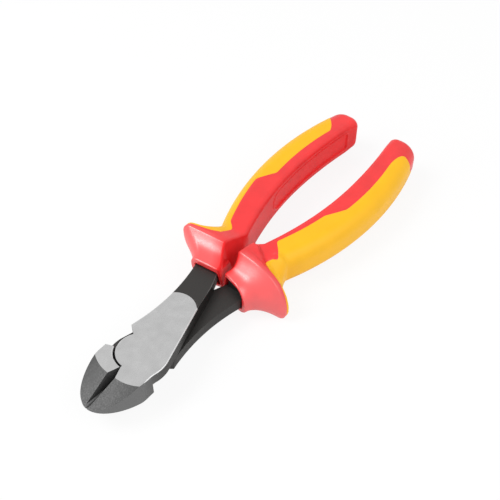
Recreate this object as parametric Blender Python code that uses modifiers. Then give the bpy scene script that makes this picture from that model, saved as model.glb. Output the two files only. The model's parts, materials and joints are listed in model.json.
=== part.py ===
"""Diagonal cutting pliers with two-colour insulated handles.

The two halves are one forging and one moulding, each used twice: the lower half
is the upper half turned over about the long axis. The pivot axis is vertical and
all outlines are drawn from it: +X runs to the handles, -X to the nose.
"""

import math

import bmesh
import bpy
from mathutils import Matrix, Vector

MM = 0.001

# Head
HEAD_THICKNESS = 10.2 * MM
HEAD_HALF_WIDTH = 11.2 * MM
NOSE_REACH = 25.8 * MM          # pivot axis to the nose
SHOULDER_SETBACK = 4.7 * MM     # jaw's rear shoulder, ahead of the pivot axis
BOSS_RADIUS = 7.9 * MM
BOSS_REACH = 11.9 * MM          # pivot axis to the boss's outer side
EDGE_GAP = 0.3 * MM             # between the closed cutting edges
LAP_GAP = 0.3 * MM              # between the lapped half-thickness bosses
BOSS_CLEARANCE = 0.8 * MM       # boss to the other jaw's pocket
EDGE_LAND = 0.5 * MM            # flat left at the cutting edge
GROOVE_HALF_WIDTH = 1.8 * MM
GROOVE_NOSE_HALF_WIDTH = 0.45 * MM
GROOVE_FADE = 0.1               # share of the groove's size left at the throat
FACET_START = 13.0 * MM         # where the jaw's face begins to fall, beside the groove
FACET_RUN_BACK = 3.0 * MM       # how much nearer the pivot it begins at the jaw's side
FACET_ANGLE = math.radians(20.0)
FACET_RADIUS = 16.0 * MM        # the facet is ground to a cone: its edge is an arc

# Tang and the shank inside the sleeve
TANG_ANGLE = math.radians(17.0)     # inner edge to the long axis
STOP_ANGLE = math.radians(54.2)     # front shoulder that stops the other jaw
STOP_REACH = 12.3 * MM
TANG_HOLLOW = 2.2 * MM              # how far the outer edge curves in
TANG_BEND = 5.0 * MM                # ahead of the mouth the inner edge turns to the handle
MOUTH_COVER = 1.2 * MM              # shank to the sleeve's inner side, at the mouth
SHANK_COVER = 1.9 * MM              # and inside the handle
SHANK_WIDTH = 8.6 * MM
SHANK_END_WIDTH = 6.5 * MM
SHANK_LENGTH = 72.0 * MM            # from the sleeve's mouth
RIB_HEIGHT = 3.0 * MM               # rib along the shank, past the lap plane
RIB_SETBACK = 2.6 * MM              # mouth to the rib's front
RIB_INNER_STEP = 0.6 * MM           # rib's sides, in from the shank's
RIB_OUTER_STEP = 2.4 * MM
GROUND_PAD_X = 21.6 * MM            # round end of the ground pad on the tang
GROUND_PAD_Y = 2.4 * MM
GROUND_PAD_RADIUS = 8.8 * MM
GROUND_STEP = 0.2 * MM

# Rivet
RIVET_RADIUS = 3.5 * MM
RIVET_HEAD_RADIUS = 4.8 * MM
RIVET_HEAD_DEPTH = 1.3 * MM
RIVET_COVER = 1.6 * MM              # metal left over its blind end
RIVET_CLEARANCE = 0.2 * MM

# Sleeve: mouth, guard and handle
MOUTH_X = 43.6 * MM
MOUTH_OUTER = 13.6 * MM
MOUTH_INNER = 0.6 * MM
MOUTH_NEAR_HEIGHT = 7.7 * MM        # lap plane to the mouth's face on the tang's side
MOUTH_FAR_HEIGHT = 5.0 * MM
MOUTH_LIP = 0.6 * MM
MOUTH_CORNER = 3.0 * MM
MOUTH_FAR_CORNER_WIDTH = 7.0 * MM
MOUTH_FAR_CORNER_HEIGHT = 9.2 * MM
MOUTH_NEAR_RAKE = 0.10              # how steeply the mouth leans back towards the middle
MOUTH_FAR_RAKE = 0.27
NECK_LENGTH = 3.1 * MM              # before the outer side begins to flare
GUARD_LENGTH = 10.3 * MM            # mouth to the rim's crest
FLARE_POWER = 1.5
NEAR_RISE_POWER = 1.9
FAR_RISE_POWER = 1.6
RIM_OUTER = 25.5 * MM
RIM_HALF_HEIGHT = 11.3 * MM
RIM_LAND = 2.6 * MM                 # thickness of the rim at its edge
RIM_INNER = 3.2 * MM
RIM_LEAN = 2.2 * MM                 # inner side leans over the rim's half height
RIM_RAKE = 0.09
RIM_NEAR_CORNER = 4.2 * MM          # on the tang's side
RIM_FAR_CORNER = 10.6 * MM
RIM_FALL_LENGTH = 12.2 * MM         # crest to the handle's height, on the tang's side
FLANGE_FILLET = 5.2 * MM
SHELF_LENGTH = 9.6 * MM             # crest to the end of the shelf on the far side
SHELF_HEIGHT = 1.5 * MM             # shelf's end over the handle
SHELF_END = 4.0 * MM                # length of the step down from the shelf
BOW_X = 115.0 * MM                  # widest place of the handles
BOW_BEYOND_RIM = 1.8 * MM
BOW_INNER = 12.0 * MM
OUTER_FRONT_RADIUS = 130.0 * MM
OUTER_BACK_RADIUS = 124.0 * MM
INNER_FRONT_RADIUS = 147.0 * MM
INNER_BACK_RADIUS = 205.0 * MM
HANDLE_END_X = 154.2 * MM
HANDLE_HALF_HEIGHT = 8.0 * MM
HANDLE_END_RADIUS = 5.2 * MM
OUTER_CORNER = 6.0 * MM
GUARD_INNER_CORNER = 1.0 * MM
INNER_CORNER = 2.0 * MM
END_INNER_CORNER = 5.0 * MM         # the inner corners widen to this at the handle's end
END_ROUNDING = 10.0 * MM            # length over which they do
SLEEVE_CLEARANCE = 0.3 * MM         # shank to sleeve
SLEEVE_LEAD = 9.0 * MM              # how far ahead of the mouth the pocket is cut

# Recessed panel on the inner side of each handle
PANEL_START_X = 92.0 * MM
PANEL_END_X = 146.0 * MM
PANEL_HALF_HEIGHT = 4.6 * MM
PANEL_FRONT_LENGTH = 6.0 * MM       # round front end
PANEL_CORNER = 1.6 * MM             # corners of its back end
PANEL_DEPTH = 0.6 * MM
PANEL_MARGIN = 3.0 * MM             # how far the cutter stands out of the side

# Soft grip let into the sleeve
GRIP_DEPTH = 1.2 * MM
GRIP_CLEARANCE = 0.3 * MM
GRIP_TURN = 8.5 * MM                # length over which an edge changes its width
GRIP_CHANGE_X = 97.8 * MM           # the two faces swap wide and narrow here
GRIP_COLLAR_END_X = 67.0 * MM       # end of the collar behind the rim
GRIP_FRONT_SWEEP = 3.6 * MM         # front edge runs back this much from tip to collar
UPPER_RIM_OFFSET = 1.9 * MM         # grip begins this far behind the rim's crest
UPPER_COLLAR_WIDTH = 7.0 * MM
UPPER_FRONT_WIDTH = 4.1 * MM
UPPER_BACK_WIDTH = 10.3 * MM
UPPER_END_X = 147.0 * MM
LOWER_RIM_OFFSET = 1.5 * MM
LOWER_COLLAR_WIDTH = 4.8 * MM
LOWER_FRONT_WIDTH = 11.0 * MM
LOWER_BACK_WIDTH = 7.4 * MM
LOWER_END_X = 144.0 * MM

# Placing: the tool lies on its guards, centred over the origin
PIVOT_X = (NOSE_REACH - HANDLE_END_X) / 2
PIVOT_Z = RIM_HALF_HEIGHT

HALF = HEAD_THICKNESS / 2
LAP = LAP_GAP / 2
RIM_X = MOUTH_X + GUARD_LENGTH
RIM_BACK_X = RIM_X + RIM_LAND
FLANGE_END_X = RIM_BACK_X + FLANGE_FILLET
SHELF_X = RIM_X + SHELF_LENGTH
HANDLE_X = SHELF_X + SHELF_END
BOW_OUTER = RIM_OUTER + BOW_BEYOND_RIM
SHANK_END_X = MOUTH_X + SHANK_LENGTH
CORNER_STEPS = 5
SHANK_STEPS = 8


def bow(x, apex, front_radius, back_radius):
    """Side of the handle: two arcs that meet, level, at the widest place."""
    radius = front_radius if x < BOW_X else back_radius
    return apex - radius + math.sqrt(radius ** 2 - (x - BOW_X) ** 2)


def handle_outer(x):
    return bow(x, BOW_OUTER, OUTER_FRONT_RADIUS, OUTER_BACK_RADIUS)


def handle_inner(x):
    return bow(x, BOW_INNER, INNER_FRONT_RADIUS, INNER_BACK_RADIUS)


def clamp(value):
    return min(max(value, 0.0), 1.0)


def smooth(value):
    value = clamp(value)
    return value * value * (3 - 2 * value)


def eased(value):
    """A slope with softly rounded ends."""
    return (clamp(value) + smooth(value)) / 2


def quarter(value):
    """Quarter circle: rises steeply from 0 and runs level into 1."""
    return math.sqrt(1 - (1 - clamp(value)) ** 2)


def mix(a, b, share):
    return a + (b - a) * share


def guard_share(x):
    """0 at the mouth, 1 at the rim's crest."""
    return clamp((x - MOUTH_X) / GUARD_LENGTH)


def flange_left(x):
    """1 up to the back of the rim, 0 where the flange has run out into the handle."""
    return 1 - smooth((x - RIM_BACK_X) / FLANGE_FILLET)


def past_shelf(x):
    """How far the section has turned from the guard's shape to the handle's."""
    return smooth((x - SHELF_X) / SHELF_END)


def sleeve_outer(x):
    """Outer side: straight neck, hollow flare, rim, then a fillet into the handle."""
    if x < RIM_BACK_X:
        flare = clamp((x - MOUTH_X - NECK_LENGTH) / (GUARD_LENGTH - NECK_LENGTH))
        return mix(MOUTH_OUTER, RIM_OUTER, flare ** FLARE_POWER)
    fall = quarter((x - RIM_BACK_X) / FLANGE_FILLET)
    return mix(RIM_OUTER, handle_outer(max(x, FLANGE_END_X)), fall)


def sleeve_inner(x):
    """Inner side at mid height, from the mouth past the guard into the handle."""
    if x < RIM_X:
        return mix(MOUTH_INNER, RIM_INNER, smooth(guard_share(x)))
    return mix(RIM_INNER, handle_inner(max(x, HANDLE_X)), past_shelf(x))


def near_height(x):
    """Half height on the tang's side: a hollow ramp up to the crest, then a long fall."""
    rise = mix(MOUTH_NEAR_HEIGHT, RIM_HALF_HEIGHT, guard_share(x) ** NEAR_RISE_POWER)
    return mix(rise, HANDLE_HALF_HEIGHT, smooth((x - RIM_X) / RIM_FALL_LENGTH))


def far_height(x):
    """Half height on the far side: a longer ramp, then a shelf that ends in a step."""
    rise = mix(MOUTH_FAR_HEIGHT, RIM_HALF_HEIGHT, guard_share(x) ** FAR_RISE_POWER)
    shelf = mix(rise, HANDLE_HALF_HEIGHT + SHELF_HEIGHT, clamp((x - RIM_X) / SHELF_LENGTH))
    return mix(shelf, HANDLE_HALF_HEIGHT, past_shelf(x))


def corner_sizes(x, inset, width, high, low):
    """Width and height of the ring's round corners: near, two inner ones, far."""
    share = guard_share(x)
    flange = flange_left(x)
    near = mix(OUTER_CORNER, mix(MOUTH_CORNER, RIM_NEAR_CORNER, share), flange)
    far_wide = mix(OUTER_CORNER, mix(MOUTH_FAR_CORNER_WIDTH, RIM_FAR_CORNER, share), flange)
    far_high = mix(OUTER_CORNER, mix(MOUTH_FAR_CORNER_HEIGHT, RIM_FAR_CORNER, share), flange)
    inner = mix(GUARD_INNER_CORNER, INNER_CORNER, past_shelf(x))
    inner = mix(inner, END_INNER_CORNER, smooth(1 - (HANDLE_END_X - x) / END_ROUNDING))
    least = GUARD_INNER_CORNER / 2
    limit = 0.95 * min(high, low, width / 2)
    near, inner = (min(max(size - inset, least), limit) for size in (near, inner))
    far_wide = min(max(far_wide - inset, least), 0.95 * width / 2)
    far_high = min(max(far_high - inset, least), 0.95 * (high + low - max(near, inner)))
    return (near, near), (inner, inner), (inner, inner), (far_wide, far_high)


def section(x, inset, shrink=0.0):
    """One ring of the loft: a leaning, raked rectangle with four unlike round corners."""
    outer = sleeve_outer(x) - inset - shrink
    inner = sleeve_inner(x) + inset + shrink
    high = near_height(x) - inset - shrink
    low = far_height(x) - inset - shrink
    sizes = corner_sizes(x, inset, outer - inner, high, low)
    share = guard_share(x)
    lean = RIM_LEAN * smooth(share) * (1 - past_shelf(x)) / RIM_HALF_HEIGHT
    near_rake = mix(MOUTH_NEAR_RAKE, RIM_RAKE, share) * flange_left(x)
    far_rake = mix(MOUTH_FAR_RAKE, RIM_RAKE, share) * flange_left(x)
    ring = []
    for index, (wide, tall) in enumerate(sizes):
        y = inner + wide if index in (1, 2) else outer - wide
        z = high - tall if index < 2 else tall - low
        for step in range(CORNER_STEPS + 1):
            turn = math.pi / 2 * (index + step / CORNER_STEPS)
            point_y = y + wide * math.cos(turn)
            point_z = z + tall * math.sin(turn)
            rake = mix(near_rake, far_rake, (high - point_z) / (high + low))
            shift = lean * point_z * (outer - point_y) / (outer - inner)
            ring.append(Vector((x + rake * (MOUTH_OUTER - point_y), point_y + shift, point_z)))
    return ring


def handle_rings(inset=0.0):
    """Sections of the moulding: lip, hollow flare, rim, shelf, handle and end."""
    rings = []
    for step in range(3):
        turn = math.pi / 4 * step
        lip = MOUTH_LIP * (1 - math.sin(turn))
        rings.append(section(MOUTH_X + MOUTH_LIP * (1 - math.cos(turn)), inset + lip))
    straight_end = HANDLE_END_X - HANDLE_END_RADIUS
    runs = (
        (MOUTH_X + MOUTH_LIP, RIM_X, 8, 1.0),
        (RIM_X, RIM_BACK_X, 2, 1.0),
        (RIM_BACK_X, FLANGE_END_X, 7, 2.0),
        (FLANGE_END_X, HANDLE_X, 5, 1.0),
        (HANDLE_X, straight_end, 11, 1.0),
    )
    for start, end, count, crowding in runs:
        for step in range(1, count + 1):
            rings.append(section(mix(start, end, (step / count) ** crowding), inset))
    for step in range(1, 5):
        turn = math.pi / 2 * step / 4
        x = straight_end + (HANDLE_END_RADIUS - inset) * math.sin(turn)
        shrink = (HANDLE_END_RADIUS - inset) * (1 - math.cos(turn))
        rings.append(section(x, inset, shrink))
    return rings


def lever_inner_edge():
    """Inner edge of tang and shank: straight from the boss, then along the sleeve."""
    start_x = BOSS_REACH * math.sin(TANG_ANGLE)
    start_y = -BOSS_REACH * math.cos(TANG_ANGLE)
    bend_x = MOUTH_X - TANG_BEND
    points = [(start_x, start_y)]
    points.append((bend_x, start_y + (bend_x - start_x) * math.tan(TANG_ANGLE)))
    return points + shank_inner_side(0.0)


def shank_inner_side(clearance):
    """Points along the shank's inner side, from the mouth to the shank's end."""
    points = []
    for step in range(SHANK_STEPS + 1):
        x = MOUTH_X + SHANK_LENGTH * step / SHANK_STEPS
        cover = mix(MOUTH_COVER, SHANK_COVER, guard_share(x))
        points.append((x, sleeve_inner(x) + cover - clearance))
    return points


def shank_outer_side(clearance):
    """The same points along its outer side."""
    points = []
    for step in range(SHANK_STEPS + 1):
        x = MOUTH_X + SHANK_LENGTH * step / SHANK_STEPS
        width = mix(SHANK_WIDTH, SHANK_END_WIDTH, (x - MOUTH_X) / SHANK_LENGTH)
        points.append((x, sleeve_inner(x) + SHANK_COVER + width + clearance))
    return points


def set_back(side):
    """A side of the shank, begun at the rib's front."""
    share = RIB_SETBACK / (side[1][0] - side[0][0])
    return [(side[0][0] + RIB_SETBACK, mix(side[0][1], side[1][1], share))] + side[1:]


def rib_outline():
    """The shank's rib, a little narrower than the shank."""
    inner = set_back(shank_inner_side(-RIB_INNER_STEP))
    return inner + set_back(shank_outer_side(-RIB_OUTER_STEP))[::-1]


def pocket_outline(inner, outer):
    """Pocket round a shank with these sides, run out ahead of the mouth."""
    front = MOUTH_X - SLEEVE_LEAD
    back = inner[-1][0] + SLEEVE_CLEARANCE
    edge = [(front, inner[0][1])] + inner
    edge += [(back, inner[-1][1]), (back, outer[-1][1])]
    return edge + outer[::-1] + [(front, outer[0][1])]


def tang_outer_edge():
    """Outer edge from the shank forward to the stop: a shallow hollow curve."""
    start = (MOUTH_X, sleeve_inner(MOUTH_X) + SHANK_COVER + SHANK_WIDTH)
    stop = (STOP_REACH * math.cos(STOP_ANGLE), STOP_REACH * math.sin(STOP_ANGLE))
    points = []
    for step in range(1, 15):
        share = step / 14
        sag = 4 * TANG_HOLLOW * share * (1 - share)
        points.append((mix(start[0], stop[0], share), mix(start[1], stop[1], share) - sag))
    return points


def arc(radius, start, end, steps):
    points = []
    for step in range(steps + 1):
        turn = mix(start, end, step / steps)
        points.append((radius * math.cos(turn), radius * math.sin(turn)))
    return points


def jaw_side(steps=24):
    """Outer side of the jaw, a quarter ellipse from the nose back to the shoulder."""
    length = NOSE_REACH - SHOULDER_SETBACK
    first = math.asin(EDGE_GAP / 2 / HEAD_HALF_WIDTH)
    points = []
    for step in range(steps + 1):
        turn = mix(first, math.pi / 2, step / steps)
        x = -SHOULDER_SETBACK - length * math.cos(turn)
        points.append((x, -HEAD_HALF_WIDTH * math.sin(turn)))
    return points


def plate_outline():
    """Half-thickness plate of one lever: jaw, boss and tang down to the shank's end."""
    boss_end = TANG_ANGLE - math.pi / 2
    boss_start = -math.pi + math.asin(HEAD_HALF_WIDTH / BOSS_REACH)
    edge = jaw_side()
    edge += arc(BOSS_REACH, boss_start, boss_end, 14)[1:-1]
    edge += lever_inner_edge()
    edge += reversed(shank_outer_side(0.0))
    edge += tang_outer_edge()
    edge += arc(BOSS_RADIUS, STOP_ANGLE, math.pi, 28)
    edge.append((-BOSS_RADIUS, -EDGE_GAP / 2))
    return edge


def jaw_outline():
    """The jaw alone, behind the other lever's boss: it makes the jaw full thickness."""
    pocket = BOSS_RADIUS + BOSS_CLEARANCE
    shoulder = -math.pi + math.atan2(HEAD_HALF_WIDTH, SHOULDER_SETBACK)
    start = -math.pi + math.asin(EDGE_GAP / 2 / pocket)
    return jaw_side() + arc(pocket, shoulder, start, 18)


def grip_zone(rim_offset, collar, front, back, end_x, grow):
    """Outline, seen from above, of the part of the handle that the grip covers."""
    start_x = RIM_X + rim_offset - grow
    outside = 2 * RIM_OUTER + collar
    collar_x = start_x + GRIP_FRONT_SWEEP
    collar_y = handle_outer(FLANGE_END_X) - collar - grow
    edge = [(start_x, outside)]
    bends = 8
    for step in range(bends):
        share = step / bends
        edge.append((start_x + GRIP_FRONT_SWEEP * share ** 2, mix(RIM_OUTER, collar_y, share)))
    stations = 44
    for step in range(stations + 1):
        x = mix(collar_x, end_x, step / stations)
        width = mix(collar, front, eased((x - GRIP_COLLAR_END_X) / GRIP_TURN + 0.5))
        width = mix(width, back, eased((x - GRIP_CHANGE_X) / GRIP_TURN + 0.5))
        width *= quarter((end_x - x) / back)
        edge.append((x, handle_outer(max(x, FLANGE_END_X)) - width - grow))
    edge[-1] = (end_x + grow, edge[-1][1])
    return edge + [(end_x + grow, outside)]


def panel_band():
    """The panel seen from above: a band along the inner side."""
    steps = 12
    near = []
    far = []
    for step in range(steps + 1):
        x = mix(PANEL_START_X, PANEL_END_X, step / steps)
        near.append((x, handle_inner(x) - PANEL_MARGIN))
        far.append((x, handle_inner(x) + PANEL_DEPTH))
    return near + far[::-1]


def panel_face():
    """The panel seen from the side: a round front end and two round corners behind."""
    points = []
    for step in range(13):
        turn = math.pi * (0.5 + step / 12)
        front = PANEL_START_X + PANEL_FRONT_LENGTH * (1 + math.cos(turn))
        points.append((front, PANEL_HALF_HEIGHT * math.sin(turn)))
    for side in (-1, 1):
        for step in range(5):
            turn = math.pi / 2 * (step / 4 if side > 0 else step / 4 - 1)
            x = PANEL_END_X - PANEL_CORNER * (1 - math.cos(turn))
            height = PANEL_HALF_HEIGHT - PANEL_CORNER
            points.append((x, side * height + PANEL_CORNER * math.sin(turn)))
    return points


def new_object(name, mesh, collection):
    item = bpy.data.objects.new(name, mesh)
    collection.objects.link(item)
    return item


def plate(name, outline, low, high, collection):
    """Flat outline extruded between two heights, as a closed mesh."""
    curve = bpy.data.curves.new(name, "CURVE")
    curve.dimensions = "2D"
    curve.fill_mode = "BOTH"
    curve.extrude = (high - low) / 2
    spline = curve.splines.new("POLY")
    spline.points.add(len(outline) - 1)
    for point, (x, y) in zip(spline.points, outline):
        point.co = (x, y, 0.0, 1.0)
    spline.use_cyclic_u = True
    guide = new_object(name + "_outline", curve, collection)
    guide.location.z = (high + low) / 2
    mesh = finished_mesh(guide)
    mesh.transform(Matrix.Translation(guide.location))
    bpy.data.objects.remove(guide)
    return new_object(name, mesh, collection)


def loft(name, rings, collection):
    """Closed skin through rings of equal count, with a flat face on each end."""
    shape = bmesh.new()
    rows = [[shape.verts.new(point) for point in ring] for ring in rings]
    for row, after in zip(rows, rows[1:]):
        for index in range(len(row)):
            other = index - 1
            shape.faces.new((row[other], row[index], after[index], after[other]))
    shape.faces.new(rows[0])
    shape.faces.new(rows[-1])
    bmesh.ops.triangulate(shape, faces=shape.faces)
    bmesh.ops.recalc_face_normals(shape, faces=shape.faces)
    mesh = bpy.data.meshes.new(name)
    shape.to_mesh(mesh)
    shape.free()
    return new_object(name, mesh, collection)


def finished_mesh(item):
    """The object's shape with its modifiers, welded, as a new mesh."""
    bpy.context.view_layer.update()
    graph = bpy.context.evaluated_depsgraph_get()
    mesh = bpy.data.meshes.new_from_object(item.evaluated_get(graph))
    shape = bmesh.new()
    shape.from_mesh(mesh)
    bmesh.ops.remove_doubles(shape, verts=shape.verts, dist=0.002 * MM)
    bmesh.ops.recalc_face_normals(shape, faces=shape.faces)
    shape.to_mesh(mesh)
    shape.free()
    return mesh


def combine(item, other, operation):
    step = item.modifiers.new(operation.lower() + "_" + other.name, "BOOLEAN")
    step.operation = operation
    step.object = other
    return item


def cone_block(name, centre, radius, side, collection):
    """A block over the nose, hollowed by a cone that widens away from the jaw's face."""
    size = 2 * NOSE_REACH
    block = [(-size, -size), (-SHOULDER_SETBACK, -size), (-SHOULDER_SETBACK, size), (-size, size)]
    low, high = sorted((0.0, side * size))
    cutter = plate(name, block, low, high, collection)
    drop = 2 * HALF
    flare = drop / math.tan(FACET_ANGLE)
    rings = []
    for height, reach in ((HALF - drop, radius + flare), (HALF + drop, radius - flare)):
        if reach < GROUND_STEP:
            height = HALF + radius * math.tan(FACET_ANGLE) - GROUND_STEP
            reach = GROUND_STEP / math.tan(FACET_ANGLE)
        circle = arc(reach, -math.pi, math.pi, 96)[:-1]
        rings.append([Vector((x + centre.x, y + centre.y, side * height)) for x, y in circle])
    cone = loft(name + "_cone", rings, collection)
    return combine(cutter, cone, "DIFFERENCE")


def jaw_facets(collection):
    """The jaw's two faces that fall towards the nose, above and below."""
    groove_end = Vector((-FACET_START, -GROOVE_HALF_WIDTH))
    side_end = Vector((FACET_RUN_BACK - FACET_START, -HEAD_HALF_WIDTH))
    chord = side_end - groove_end
    inwards = Vector((-chord.y, chord.x)).normalized()
    depth = math.sqrt(FACET_RADIUS ** 2 - chord.length_squared / 4)
    centre = (groove_end + side_end) / 2 + inwards * depth
    return [cone_block("jaw_facet", centre, FACET_RADIUS, side, collection) for side in (1, -1)]


def cutting_grooves(collection):
    """V grooves over and under the cutting edges, fading out at the throat."""
    throat = BOSS_RADIUS + BOSS_CLEARANCE
    nose_half = HALF - (NOSE_REACH - FACET_START) * math.tan(FACET_ANGLE)
    bottom = EDGE_LAND / 2
    faded = HALF - GROOVE_FADE * (HALF - bottom)
    grooves = []
    for side in (1, -1):
        rings = []
        stations = (
            (-NOSE_REACH - MM, GROOVE_NOSE_HALF_WIDTH, max(nose_half, EDGE_LAND), bottom),
            (-FACET_START, GROOVE_HALF_WIDTH, HALF, bottom),
            (-throat, GROOVE_FADE * GROOVE_HALF_WIDTH, HALF, faded),
        )
        for x, half_width, height, floor in stations:
            reach = 2.0
            top = floor + (height - floor) * reach
            wide = half_width * reach
            rings.append([
                Vector((x, 0.0, side * floor)),
                Vector((x, wide, side * top)),
                Vector((x, -wide, side * top)),
            ])
        grooves.append(loft("cutting_groove", rings, collection))
    return grooves


def build_lever(collection):
    """Forged lever before drilling: plate, full jaw, shank's rib, facets, ground pad."""
    lever = plate("lever_forging", plate_outline(), LAP, HALF, collection)
    jaw = plate("lever_jaw", jaw_outline(), -HALF, HALF / 2, collection)
    rib = plate("shank_rib", rib_outline(), -RIB_HEIGHT, HALF / 2, collection)
    combine(lever, jaw, "UNION")
    combine(lever, rib, "UNION")
    for cutter in jaw_facets(collection) + cutting_grooves(collection):
        combine(lever, cutter, "DIFFERENCE")
    tang_end = SHANK_END_X + MM
    wide = BOW_OUTER + RIM_OUTER
    beyond = [(GROUND_PAD_X, -wide), (tang_end, -wide), (tang_end, wide), (GROUND_PAD_X, wide)]
    step = plate("unground_tang", beyond, HALF - GROUND_STEP, 2 * HALF, collection)
    pad = arc(GROUND_PAD_RADIUS, -math.pi, math.pi, 40)[:-1]
    pad = [(x + GROUND_PAD_X, y + GROUND_PAD_Y) for x, y in pad]
    combine(step, plate("ground_pad", pad, 0.0, 3 * HALF, collection), "DIFFERENCE")
    combine(lever, step, "DIFFERENCE")
    return finished_mesh(lever)


def build_sleeve(collection):
    """Sleeve: outer skin, less the shank's pocket, the grip's bed and the panel."""
    gap = GRIP_CLEARANCE
    sleeve = loft("sleeve_skin", handle_rings(), collection)
    bed = plate("grip_bed_upper", upper_zone(gap), -gap, 2 * RIM_HALF_HEIGHT, collection)
    below = plate("grip_bed_lower", lower_zone(gap), -2 * RIM_HALF_HEIGHT, gap, collection)
    combine(bed, below, "UNION")
    core = loft("sleeve_core", handle_rings(GRIP_DEPTH + gap), collection)
    combine(bed, core, "DIFFERENCE")
    combine(sleeve, bed, "DIFFERENCE")
    room = SLEEVE_CLEARANCE
    pocket = pocket_outline(shank_inner_side(room), shank_outer_side(room))
    high = HALF - GROUND_STEP + room
    combine(sleeve, plate("shank_pocket", pocket, LAP - room, high, collection), "DIFFERENCE")
    slot = pocket_outline(
        shank_inner_side(room - RIB_INNER_STEP), shank_outer_side(room - RIB_OUTER_STEP)
    )
    low = -RIB_HEIGHT - room
    combine(sleeve, plate("rib_pocket", slot, low, HALF / 2, collection), "DIFFERENCE")
    height = HANDLE_HALF_HEIGHT
    panel = plate("inner_panel", panel_band(), -height, height, collection)
    face = plate("inner_panel_face", panel_face(), -2 * BOW_OUTER, 2 * BOW_OUTER, collection)
    face.rotation_euler.x = math.pi / 2
    combine(panel, face, "INTERSECT")
    combine(sleeve, panel, "DIFFERENCE")
    return finished_mesh(sleeve)


def upper_zone(grow):
    widths = (UPPER_COLLAR_WIDTH, UPPER_FRONT_WIDTH, UPPER_BACK_WIDTH)
    return grip_zone(UPPER_RIM_OFFSET, *widths, UPPER_END_X, grow)


def lower_zone(grow):
    widths = (LOWER_COLLAR_WIDTH, LOWER_FRONT_WIDTH, LOWER_BACK_WIDTH)
    return grip_zone(LOWER_RIM_OFFSET, *widths, LOWER_END_X, grow)


def build_grip(collection):
    """Soft grip: a skin of the handle, wide on one face where the other is narrow."""
    grip = loft("grip_skin", handle_rings(), collection)
    lap = GRIP_CLEARANCE / 4
    zone = plate("grip_zone_upper", upper_zone(0.0), -lap, 2 * RIM_HALF_HEIGHT, collection)
    below = plate("grip_zone_lower", lower_zone(0.0), -2 * RIM_HALF_HEIGHT, lap, collection)
    combine(zone, below, "UNION")
    combine(grip, zone, "INTERSECT")
    core = loft("grip_core", handle_rings(GRIP_DEPTH), collection)
    combine(grip, core, "DIFFERENCE")
    return finished_mesh(grip)


def turned(name, profile, collection):
    """Profile in the XZ plane spun about the pivot axis."""
    mesh = bpy.data.meshes.new(name)
    points = [(x, 0.0, z) for x, z in profile]
    edges = [(index, index + 1) for index in range(len(points) - 1)]
    mesh.from_pydata(points, edges, [])
    item = new_object(name, mesh, collection)
    spin = item.modifiers.new("spin", "SCREW")
    spin.steps = 40
    spin.render_steps = 40
    spin.use_merge_vertices = True
    spin.merge_threshold = 0.01 * MM
    return item


def rivet_profile(clearance, top, bottom):
    """Half outline of the rivet, from its blind end down to its flush head."""
    shank = RIVET_RADIUS + clearance
    head = RIVET_HEAD_RADIUS + clearance
    seat = RIVET_HEAD_DEPTH - HALF
    return [(0.0, top), (shank, top), (shank, seat), (head, -HALF), (head, bottom), (0.0, bottom)]


def material(name, colour, roughness, metallic):
    paint = bpy.data.materials.new(name)
    paint.use_nodes = True
    shader = paint.node_tree.nodes["Principled BSDF"]
    shader.inputs["Base Color"].default_value = (*colour, 1.0)
    shader.inputs["Roughness"].default_value = roughness
    shader.inputs["Metallic"].default_value = metallic
    paint.diffuse_color = (*colour, 1.0)
    return paint


def add_part(name, mesh, paint, carrier, collection):
    item = new_object(name, mesh, collection)
    item.parent = carrier
    item.data.materials.clear()
    item.data.materials.append(paint)
    item.data.shade_smooth()
    item.data.set_sharp_from_angle(angle=math.radians(32))
    return item


def main():
    for item in list(bpy.data.objects):
        bpy.data.objects.remove(item)
    scene = bpy.context.scene.collection
    parts = bpy.data.collections.new("diagonal_cutting_pliers")
    cutters = bpy.data.collections.new("cutters")
    scene.children.link(parts)
    scene.children.link(cutters)

    lever = build_lever(cutters)
    sleeve = build_sleeve(cutters)
    grip = build_grip(cutters)

    steel = material("ground_steel", (0.50, 0.50, 0.50), 0.32, 1.0)
    red = material("red_sleeve", (0.80, 0.05, 0.05), 0.38, 0.0)
    yellow = material("yellow_grip", (0.95, 0.55, 0.04), 0.50, 0.0)

    upper = bpy.data.objects.new("upper_half", None)
    lower = bpy.data.objects.new("lower_half", None)
    for carrier, turn in ((upper, 0.0), (lower, math.pi)):
        parts.objects.link(carrier)
        carrier.location = (PIVOT_X, 0.0, PIVOT_Z)
        carrier.rotation_euler = (turn, 0.0, 0.0)

    blind_end = HALF - RIVET_COVER
    rivet = turned("rivet_turning", rivet_profile(0.0, blind_end, -HALF), cutters)
    add_part("pivot_rivet", finished_mesh(rivet), steel, upper, parts)

    hole = rivet_profile(RIVET_CLEARANCE, blind_end + RIVET_CLEARANCE, -2 * HALF)
    bore = turned("rivet_hole", hole, cutters)
    bore.parent = upper
    for name, carrier in (("upper", upper), ("lower", lower)):
        item = add_part(name + "_lever", lever.copy(), steel, carrier, parts)
        combine(item, bore, "DIFFERENCE")
        add_part(name + "_sleeve", sleeve, red, carrier, parts)
        add_part(name + "_grip", grip, yellow, carrier, parts)

    for item in cutters.objects:
        item.hide_render = True
        item.display_type = "WIRE"


main()
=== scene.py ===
"""Diagonal cutting pliers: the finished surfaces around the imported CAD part.

The two halves are one forging and one moulding, each used twice. Every surface is worked
out for the upper half, in metres from the pivot axis with +X towards the handles, and the
lower half is the upper half turned over about the long axis.
"""

import json
import math
from collections import namedtuple

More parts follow.
